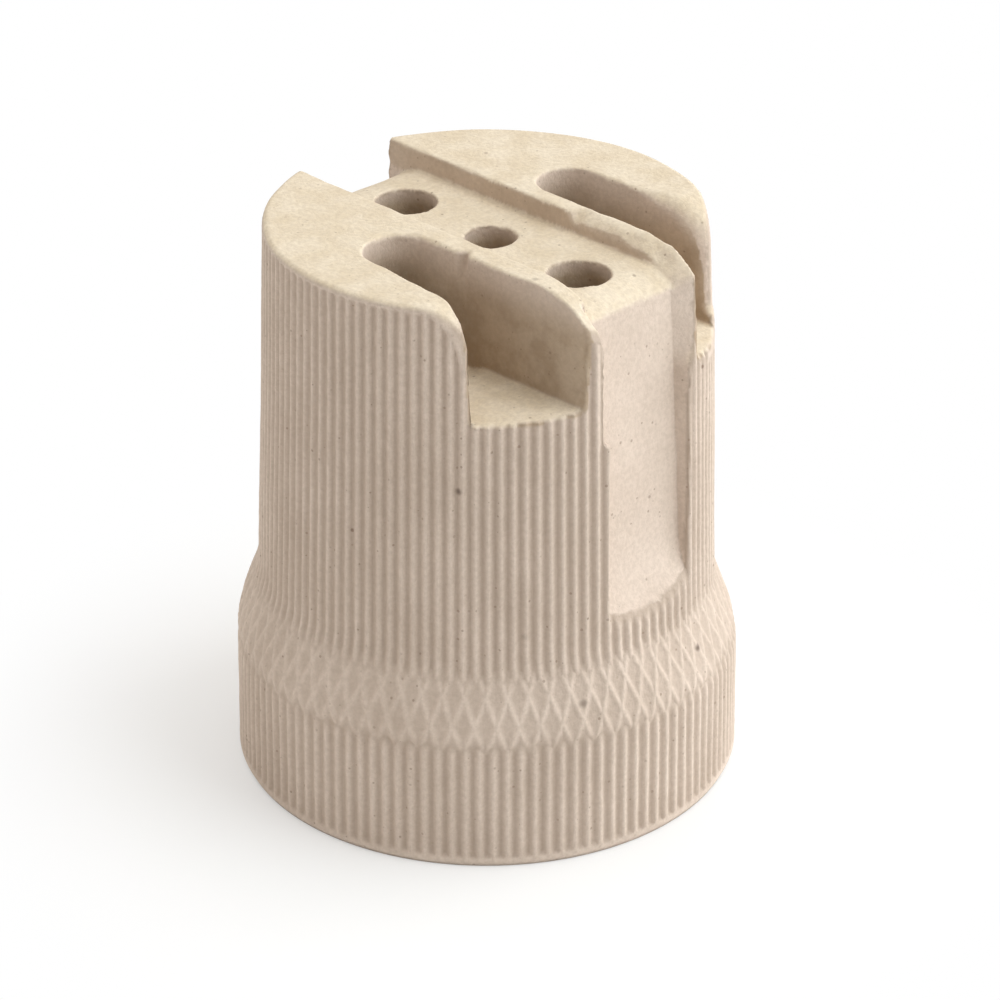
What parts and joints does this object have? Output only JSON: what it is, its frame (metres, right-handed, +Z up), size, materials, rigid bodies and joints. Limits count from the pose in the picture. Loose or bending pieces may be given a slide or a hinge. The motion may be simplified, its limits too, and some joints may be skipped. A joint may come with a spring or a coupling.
{
  "type": "lamp holder",
  "caption": "Ribbed porcelain lamp holder with a grooved crown, side wire slots, screw terminals, a rolled screw shell and a sprung centre contact.",
  "frame": {"origin": "centre of the mouth's rim, on the plane that the holder stands on", "axes": "+Z up along the lamp axis towards the wire end, X along the groove across the crown, with the wire slots open towards +X and the live terminal on the -Y side"},
  "size_m": [0.0424, 0.0422, 0.048],
  "materials": {
    "porcelain": "unglazed, matt, fine speckles",
    "shell_brass": "rolled sheet, bright",
    "spring_bronze": "hard rolled strip",
    "terminal_brass": "turned and pressed, satin",
    "plated_steel": "zinc plated"
  },
  "bodies": {
    "holder": {"ceramic_body": "porcelain", "screw_shell": "shell_brass", "terminal_bush_live": "terminal_brass", "terminal_bush_neutral": "terminal_brass", "terminal_plate_live": "terminal_brass", "terminal_plate_neutral": "terminal_brass"},
    "contact_leaf": {"centre_contact": "spring_bronze"},
    "clamp_live": {"clamp_washer_live": "plated_steel", "spring_washer_live": "plated_steel"},
    "screw_live": {"terminal_screw_live": "plated_steel"},
    "clamp_neutral": {"clamp_washer_neutral": "plated_steel", "spring_washer_neutral": "plated_steel"},
    "screw_neutral": {"terminal_screw_neutral": "plated_steel"}
  },
  "joints": [
    {"name": "contact_spring", "type": "hinge", "parent": "holder", "child": "contact_leaf", "pos_m": [0.0006, -0.0054, 0.03248], "axis": [1, 0, 0], "range_deg": [0, 16], "stiffness_Nm_per_rad": 0.15, "deforming": ["centre_contact"]},
    {"name": "clamp_live_travel", "type": "slide", "parent": "holder", "child": "clamp_live", "axis": [0, 0, 1], "range_m": [0, 0.002]},
    {"name": "screw_live_turn", "type": "hinge", "parent": "clamp_live", "child": "screw_live", "pos_m": [0.0006, -0.00935, 0.0415], "axis": [0, 0, 1], "range_deg": [0, 1440]},
    {"name": "clamp_neutral_travel", "type": "slide", "parent": "holder", "child": "clamp_neutral", "axis": [0, 0, 1], "range_m": [0, 0.002]},
    {"name": "screw_neutral_turn", "type": "hinge", "parent": "clamp_neutral", "child": "screw_neutral", "pos_m": [0.0006, 0.00935, 0.0415], "axis": [0, 0, 1], "range_deg": [0, 1440]}
  ],
  "couplings": [
    {"joint": "screw_live_turn", "follows": "clamp_live_travel", "rad_per_m": 12566},
    {"joint": "screw_neutral_turn", "follows": "clamp_neutral_travel", "rad_per_m": 12566}
  ]
}
